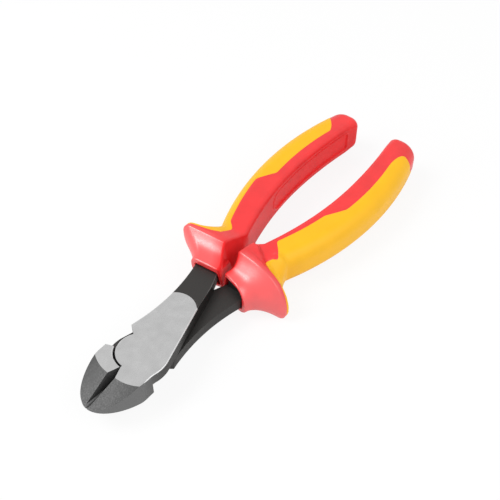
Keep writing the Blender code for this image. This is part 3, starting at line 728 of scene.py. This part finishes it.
def sleeve_stations(s):
    """Stations along the sleeve, with the lip's inset and the end's shrink at each.

    Evenly spaced runs cover the ramp, the crest, the land, the fillet, the handle and the panel;
    the lip and the end are quarter circles.
    """
    crest = s.mouth_x + s.guard
    land_end = crest + s.rim_land
    straight_end = s.end_x - s.end_round
    near_edge = 4 * s.ease
    stops = (
        (s.mouth_x + s.lip, 0),
        (crest - near_edge, 40),
        (crest + near_edge, 24),
        (land_end + near_edge, 24),
        (land_end + s.fillet + s.ease, 26),
        (s.panel_start - s.panel_height, 46),
        (s.panel_start + 2 * s.panel_height, 54),
        (s.panel_end - s.panel_height, 60),
        (straight_end, 24),
    )
    lip = np.linspace(0.0, math.pi / 2, num=9)
    end = np.linspace(0.0, math.pi / 2, num=17)[1:]
    runs = [
        np.linspace(start, stop, count + 1)[1:]
        for (start, _), (stop, count) in zip(stops, stops[1:])
    ]
    x = [s.mouth_x + s.lip * (1.0 - np.cos(lip)), *runs, straight_end + s.end_round * np.sin(end)]
    x = np.concatenate(x)
    inset = np.zeros_like(x)
    inset[: len(lip)] = s.lip * (1.0 - np.sin(lip))
    shrink = np.zeros_like(x)
    shrink[-len(end):] = s.end_round * (1.0 - np.cos(end))
    return x, inset, shrink


def ring_places():
    """Ring places of the sleeve, once round, finest on the corners and the panel."""
    units = [np.linspace(unit, unit + 1, count + 1)[:-1] for unit, count in enumerate(RING_STEPS)]
    half = np.append(np.concatenate(units), len(RING_STEPS))
    return np.concatenate((half, -half[-2:0:-1]))


def grip_bed(s, g, x, k, section):
    """Depth of the bed under the grip: full depth well inside the grip's edges, none outside."""
    q = arc_from_place(k, section)
    edge = grip_edge(s, g, x, section, k)
    across = edge - q
    front = x - s.mouth_x - s.guard - g.front - g.sweep * np.clip(q / edge, 0.0, 1.0) ** 2
    back = np.minimum(g.near_end - g.near_run, g.far_end - g.far_run) - x
    inside = np.minimum(np.minimum(across, front), back)
    depth = g.bed * smooth(part_of(inside, BED_MARGIN, BED_SLOPE))
    return np.where(np.abs(k) < 3.0, depth, 0.0)


def panel_relief(s, points):
    """Height of the inner side's panel: a flat recess with a round bead along its border."""
    x, y, z = (points[..., axis] for axis in range(3))
    far_side = y > handle_inner(s, x) + PANEL_REACH
    half, front = s.panel_height, s.panel_height * ROUND_SHARE
    distance = rounded_box(x, z, s.panel_start, s.panel_end, half, front, PANEL_CORNER)
    recess = -s.panel_depth * smooth(part_of(-distance, 0.0, 2 * s.panel_bead_width))
    bead = s.panel_bead * np.exp(-(distance / s.panel_bead_width) ** 2)
    return np.where(far_side, 0.0, recess + bead)


def sleeve_points(s, g, look):
    """The sleeve as one grid: pocket, front face, lip, guard, handle and end, ring by ring.

    Gives the points and the mirror level at each: glossy on the guard's outer faces, dull on the
    inner side and in the pocket, matt on the rest of the handle.
    """
    x, inset, shrink = (part[:, None] for part in sleeve_stations(s))
    k = ring_places()[None, :]
    section = sections(s, x, inset, shrink)
    skin = ring_point(s, x, k, section)
    outwards = -normals(skin)
    bed = grip_bed(s, g, x, k, section)
    relief = panel_relief(s, skin)
    skin = skin + outwards * (relief - bed)[..., None]
    ahead = 1.0 - part_of(x, s.mouth_x + s.guard, s.rim_land)
    guard = mix(look.red_gloss, look.red_dull, part_of(np.abs(k), *GUARD_FADE))
    handle_dull = HANDLE_DULL * look.red_dull
    handle = mix(look.red_matt, handle_dull, part_of(np.abs(k), *HANDLE_FADE))
    mirror = mix(handle, guard, ahead)

    turn = np.linspace(0.0, math.pi / 2, num=5)[:, None]
    pocket_x = np.concatenate(([[s.pocket_depth]], s.pocket_edge * (1.0 - np.sin(turn))))
    grow = np.concatenate(([[0.0]], s.pocket_edge * (1.0 - np.cos(turn))))
    sides = (s.pocket_outer + grow, s.pocket_inner - grow, s.pocket_top + grow, s.pocket_gap + grow)
    corners = (s.pocket_corner, s.pocket_corner, s.pocket_far_wide, s.pocket_far_tall)
    corners = [corner + grow for corner in corners]
    pocket = Section(*sides, *corners, lean=0.0, near_rake=s.near_rake, far_rake=s.far_rake)
    inside = ring_point(s, s.mouth_x + pocket_x, k, pocket)
    spread = np.linspace(0.0, 1.0, num=6)[1:-1, None, None]
    front = mix(inside[-1:], skin[:1], spread)
    hidden = np.full((len(inside), k.size), look.red_dull)
    face = np.full((len(front), k.size), look.red_gloss)
    return np.concatenate((inside, front, skin)), np.concatenate((hidden, face, mirror))


def build_sleeve(half, side, settings, finish):
    points, mirror = sleeve_points(settings.sleeve, settings.grip, settings.finish)
    rows, columns = points.shape[:2]
    faces = grid_faces(rows, columns, closed=True)
    ring = np.arange(columns)
    ends = [ring[::-1].tolist(), (ring + (rows - 1) * columns).tolist()]
    name = half + "_moulded_sleeve"
    piece = add_piece(name, placed(points, side), faces, ends, finish, mirror=mirror)
    outward_faces(piece.data)
    join_frame(piece, half, "sleeve")


def outward_faces(mesh):
    """All faces of a closed mesh turned outwards."""
    shape = bmesh.new()
    shape.from_mesh(mesh)
    bmesh.ops.recalc_face_normals(shape, faces=shape.faces)
    shape.to_mesh(mesh)
    shape.free()


def grip_taper(g, left, face):
    """How far the grip's edge comes in with that length left to the end.

    The near edge slants in as a power of the way, and the far edge is a quarter ellipse.
    """
    slant = g.near_slant * part_of(-left, -g.near_run, g.near_run) ** SLANT_POWER
    bend = g.far_round * (1.0 - quarter(part_of(left, 0.0, g.far_run)))
    return np.where(face >= 0, slant, bend)


def border_steps(roll, count):
    """Distances from an edge, finest at the edge, over its roll."""
    return roll * (1.0 - np.cos(np.linspace(0.0, math.pi / 2, count)))


def grip_points(s, g):
    """The grip as one grid over the sleeve's skin.

    Rows run from the front edge to the end and columns from the far face's edge round the
    outer side to the near face's edge, closest together at the edges. The whole border rolls
    down into the sleeve as a quarter circle.
    """
    rim = border_steps(2 * g.roll, BORDER_STEPS)
    edge_on = np.ones(BORDER_STEPS)
    across = np.sin(np.linspace(-math.pi / 2, math.pi / 2, ACROSS_STEPS)[1:-1])
    along = np.linspace(0.0, 1.0, ALONG_STEPS)[1:-1]
    v = np.concatenate((-edge_on, across, edge_on))[None, :]
    keep_off = np.concatenate((rim, np.full(len(across), rim[-1]), rim[::-1]))[None, :]
    u = np.concatenate((np.zeros(BORDER_STEPS), along, edge_on))[:, None]
    drawn = 1.0 - (1.0 - u) ** END_POWER / END_SHARE ** (END_POWER - 1.0)
    u = np.where(u > 1.0 - END_SHARE, drawn, u)
    full = np.full(len(along) + BORDER_STEPS, rim[-1])
    ahead = np.concatenate((rim, full))[:, None]
    behind = np.concatenate((full, rim[::-1]))[:, None]
    start = s.mouth_x + s.guard + g.front + g.sweep * v ** 2
    end = mix(g.far_end, g.near_end, smooth(part_of(v, *END_TURN)))
    x = mix(start + ahead, end - behind, u)
    section = sections(s, x)
    face = np.sign(v) + 0.0 * x
    edge = grip_edge(s, g, x, section, face) - grip_taper(g, end - x, face)
    q = v * (edge - keep_off)
    distance = np.minimum(np.minimum(x - start, end - x), edge - np.abs(q))
    left = np.clip(g.roll - distance, 0.0, g.roll)
    height = g.proud - g.roll + np.sqrt(g.roll ** 2 - left ** 2)
    return skin_point(s, x, q) - skin_normal(s, x, q, g.roll / 4) * height[..., None]


def build_grip(half, side, settings, finish):
    points = grip_points(settings.sleeve, settings.grip)
    rows, columns = points.shape[:2]
    faces = grid_faces(rows, columns, closed=False)
    piece = add_piece(half + "_soft_grip", placed(points, side), faces, [], finish)
    wall = piece.modifiers.new("wall", "SOLIDIFY")
    wall.thickness = settings.grip.wall
    wall.offset = -1.0
    join_frame(piece, half, "grip")


def vectors(items, key):
    """That vector of each of a mesh's vertices or faces, as an array."""
    values = np.empty(len(items) * 3)
    items.foreach_get(key, values)
    return values.reshape(-1, 3)


def ground_level(steel):
    """Height over the lap plane above which a flat face is ground."""
    return (LEVER_HIGH.z - LEVER_LOW.z) / 2 - steel.edge / 2


def weigh_rims(shape, steel):
    """Weigh for the bevel the edges between a ground face and an upright wall, behind the jaws."""
    shape.normal_update()
    weight = shape.edges.layers.float.new("bevel_weight_edge")
    top = ground_level(steel)
    for edge in shape.edges:
        level = min(abs(corner.co.z - PIVOT.z) for corner in edge.verts)
        front = min(corner.co.x for corner in edge.verts)
        tilts = [abs(face.normal.z) for face in edge.link_faces]
        ahead = min(face.normal.x for face in edge.link_faces)
        flat_to_wall = max(tilts) > FLAT_TILT and min(tilts) < WALL_TILT and ahead > FORWARD
        if level > top and front > PIVOT.x + steel.groove_end and flat_to_wall:
            edge[weight] = 1.0
        elif level > top - steel.edge and front > PIVOT.x + steel.tang_start and flat_to_wall:
            edge[weight] = steel.tang_edge


def widen_tang(mesh, side, steel):
    """Spread the tang's inner edge towards the long axis, linearly up to the sleeve's mouth."""
    points = vectors(mesh.vertices, "co")
    along = part_of(points[:, 0] - PIVOT.x, steel.spread_start, steel.spread_run)
    tang = (points[:, 0] < PIVOT.x + steel.spread_end) & (points[:, 1] * side < steel.spread_side)
    points[:, 1] -= np.where(tang, side * steel.spread * along, 0.0)
    mesh.vertices.foreach_set("co", points.ravel())


def build_lever(half, side, settings, finishes):
    """The CAD forging with eased edges; its finishes are ground, forged, groove and edge.

    Flat faces at full height are ground, and faces ahead of the pivot that look towards the
    other jaw are the groove, coloured darker as painted shade. The eased edges are coloured
    lighter than the faces they round, as a painted highlight.
    """
    steel = settings.steel
    mesh = frame["nodes"][half + "_lever"].data.copy()
    shape = bmesh.new()
    shape.from_mesh(mesh)
    bmesh.ops.remove_doubles(shape, verts=shape.verts, dist=steel.weld)
    bmesh.ops.dissolve_limit(
        shape, angle_limit=steel.flat, verts=shape.verts, edges=shape.edges, delimit=set()
    )
    weigh_rims(shape, steel)
    shape.to_mesh(mesh)
    shape.free()
    widen_tang(mesh, side, steel)
    mesh.name = half + "_forged_lever"
    mesh.materials.clear()
    for finish in finishes:
        mesh.materials.append(finish)
    centres = vectors(mesh.polygons, "center")
    directions = vectors(mesh.polygons, "normal")
    high = np.abs(centres[:, 2] - PIVOT.z) > ground_level(steel)
    bright = (np.abs(directions[:, 2]) > GROUND_TILT) & high
    # Painted shade: faces that look towards the other jaw take the darker groove colour.
    inwards = (directions[:, 1] * side > INWARD) & (centres[:, 0] < PIVOT.x + steel.groove_end)
    index = np.where(bright, 0, np.where(inwards, 2, 1))
    mesh.polygons.foreach_set("material_index", index.astype(np.int32))
    mesh.shade_smooth()
    mesh.set_sharp_from_angle(angle=steel.crease)
    piece = add_object(mesh.name, mesh)
    ease = piece.modifiers.new("eased_edges", "BEVEL")
    ease.width = steel.edge
    ease.segments = 3
    ease.use_clamp_overlap = False
    ease.limit_method = "WEIGHT"
    ease.harden_normals = True
    # Painted highlight: the bevel's new faces take the last finish, the lighter edge colour.
    ease.material = len(finishes) - 1
    join_frame(piece, half, "lever")


class BuildLevers(bpy.types.Operator):
    """Build the two forged levers"""

    bl_idname = "pliers.levers"
    bl_label = "Levers"

    def execute(self, context):
        settings = context.scene.pliers
        look = settings.finish
        steel = settings.steel
        rough = look.skin_rough
        dark = (steel.dark_start, steel.dark_end)
        # Where the painted edge highlight turns from the ground faces' light colour to the tangs'
        # darker one.
        edge_highlight = (steel.tang_start, steel.tang_start + steel.edge)
        ground = ground_steel(look)
        finishes = (
            ground,
            forged_steel("forged_steel", look.satin, look.facet, look.black, rough, dark),
            # Painted shade: the groove's darker colour.
            forged_steel("groove_steel", look.groove, look.groove, look.black, rough, dark),
            # Painted highlight: the eased edges' lighter colours.
            forged_steel("edge_highlight_steel", look.edge_highlight, look.edge_highlight, look.black_edge_highlight, rough, edge_highlight),
        )
        for half, side in HALVES:
            build_lever(half, side, settings, finishes)
        rivet = frame["nodes"]["pivot_rivet"]
        rivet.data.materials.clear()
        rivet.data.materials.append(ground)
        return {"FINISHED"}


class BuildSleeves(bpy.types.Operator):
    """Build the two moulded sleeves"""

    bl_idname = "pliers.sleeves"
    bl_label = "Sleeves"

    def execute(self, context):
        settings = context.scene.pliers
        look = settings.finish
        grain_sizes = {"mottle": 0.13, "grain_scale": 1700.0, "relief": 0.012 * MM}
        red = plastic("red_plastic", look.red, look.red_rough, look.red_matt, **grain_sizes)
        polish(red.node_tree, "mirror", look.red_index)
        for half, side in HALVES:
            build_sleeve(half, side, settings, red)
        return {"FINISHED"}


class BuildGrips(bpy.types.Operator):
    """Build the two soft grips"""

    bl_idname = "pliers.grips"
    bl_label = "Grips"

    def execute(self, context):
        settings = context.scene.pliers
        look = settings.finish
        grain_sizes = {"mottle": 0.05, "grain_scale": 2300.0, "relief": 0.016 * MM}
        base = (look.yellow, look.yellow_rough, look.yellow_matt)
        yellow = plastic("yellow_rubber", *base, **grain_sizes)
        for half, side in HALVES:
            build_grip(half, side, settings, yellow)
        return {"FINISHED"}


def seen_white(tree, plain, white):
    """The plain shader for light that falls on things, the white one for what is seen."""
    path = tree.nodes.new("ShaderNodeLightPath")
    seen = path.outputs["Is Camera Ray"]
    for ray in ("Is Glossy Ray", "Is Transmission Ray"):
        either = add_node(tree, "Math", [("operation", "ADD"), ("use_clamp", True)], Value=seen)
        tree.links.new(path.outputs[ray], either.inputs[1])
        seen = either.outputs[0]
    choice = tree.nodes.new("ShaderNodeMixShader")
    tree.links.new(seen, choice.inputs["Fac"])
    tree.links.new(plain, choice.inputs[1])
    tree.links.new(white, choice.inputs[2])
    return choice.outputs[0]


def floor_finish(shadow):
    """White floor: seen as plain white with a share of the real shadow left in."""
    finish = bpy.data.materials.new("studio_floor")
    finish.use_nodes = True
    tree = finish.node_tree
    tree.nodes.clear()
    paper = add_node(tree, "BsdfDiffuse", Color=(0.9, 0.9, 0.9, 1.0))
    glow = add_node(tree, "Emission")
    faded = add_node(tree, "MixShader", Fac=shadow)
    tree.links.new(glow.outputs[0], faded.inputs[1])
    tree.links.new(paper.outputs[0], faded.inputs[2])
    output = tree.nodes.new("ShaderNodeOutputMaterial")
    tree.links.new(seen_white(tree, paper.outputs[0], faded.outputs[0]), output.inputs["Surface"])
    return finish


def white_world(ambient):
    """Even light from all round, seen as plain white."""
    world = bpy.data.worlds.new("studio")
    world.use_nodes = True
    tree = world.node_tree
    tree.nodes.clear()
    white = (1.0, 1.0, 1.0, 1.0)
    soft = add_node(tree, "Background", Color=white, Strength=ambient)
    plain = add_node(tree, "Background", Color=white, Strength=1.0)
    output = add_node(tree, "OutputWorld")
    tree.links.new(seen_white(tree, soft.outputs[0], plain.outputs[0]), output.inputs["Surface"])
    return world


def add_lamp(name, place, target, size, power):
    """A soft square lamp that faces its target."""
    lamp = bpy.data.lights.new(name, "AREA")
    lamp.shape = "RECTANGLE"
    lamp.energy = power
    lamp.size = lamp.size_y = size
    holder = add_object(name, lamp)
    holder.location = place
    holder.rotation_euler = (target - place).to_track_quat("-Z", "Y").to_euler()


class BuildStage(bpy.types.Operator):
    """Build the floor, the lights and the camera"""

    bl_idname = "pliers.stage"
    bl_label = "Stage"

    def execute(self, context):
        stage = context.scene.pliers.stage
        scene = context.scene
        wide = stage.floor
        corners = np.array([[-wide, -wide], [wide, -wide], [wide, wide], [-wide, wide]])
        points = np.column_stack((corners, np.full(4, CAD_BOX[0].z)))
        face = np.array([[0, 1, 2, 3]])
        floor = add_piece("studio_floor", points, face, [], floor_finish(stage.shadow))
        scene.world = white_world(stage.ambient)
        middle = (CAD_BOX[0] + CAD_BOX[1]) / 2
        lamps = (
            ("key_lamp", (-0.36, 0.35, 0.68), 0.36, stage.key),
            ("fill_lamp", (0.08, -0.58, 0.52), 0.6, stage.fill),
            ("front_lamp", (-0.70, 0.40, 0.33), 0.4, stage.front),
        )
        for name, offset, size, power in lamps:
            add_lamp(name, middle + Vector(offset), middle, size, power)
        lens = bpy.data.cameras.new("camera")
        lens.sensor_width = 36.0
        lens.lens = stage.lens
        lens.clip_start = 0.01
        camera = add_object("camera", lens)
        camera.location = PIVOT + Vector((stage.back, stage.side, stage.above))
        camera.rotation_euler = (math.pi / 2 - stage.elevation, 0.0, -stage.azimuth)
        scene.camera = camera
        scene.view_settings.view_transform = "Standard"
        return {"FINISHED"}


class PliersPanel(bpy.types.Panel):
    """The builders and their settings, in the 3D view's sidebar"""

    bl_idname = "VIEW3D_PT_pliers"
    bl_label = "Diagonal cutting pliers"
    bl_space_type = "VIEW_3D"
    bl_region_type = "UI"
    bl_category = "Pliers"

    def draw(self, context):
        settings = context.scene.pliers
        for builder in BUILDERS:
            self.layout.operator(builder.bl_idname)
        for group in PliersSettings.__annotations__:
            box = self.layout.box()
            box.label(text=group.capitalize())
            sizes = getattr(settings, group)
            for name in sizes.__annotations__:
                box.prop(sizes, name)


BUILDERS = (BuildLevers, BuildSleeves, BuildGrips, BuildStage)
GROUPS = (SleeveSizes, GripSizes, SteelSizes, Finishes, StageSizes, PliersSettings)
CLASSES = GROUPS + BUILDERS + (PliersPanel,)


def register():
    for item in CLASSES:
        bpy.utils.register_class(item)
    bpy.types.Scene.pliers = PointerProperty(type=PliersSettings)


def unregister():
    del bpy.types.Scene.pliers
    for item in reversed(CLASSES):
        bpy.utils.unregister_class(item)


def main():
    register()
    bpy.ops.pliers.levers()
    bpy.ops.pliers.sleeves()
    bpy.ops.pliers.grips()
    bpy.ops.pliers.stage()


if __name__ == "__main__":
    main()
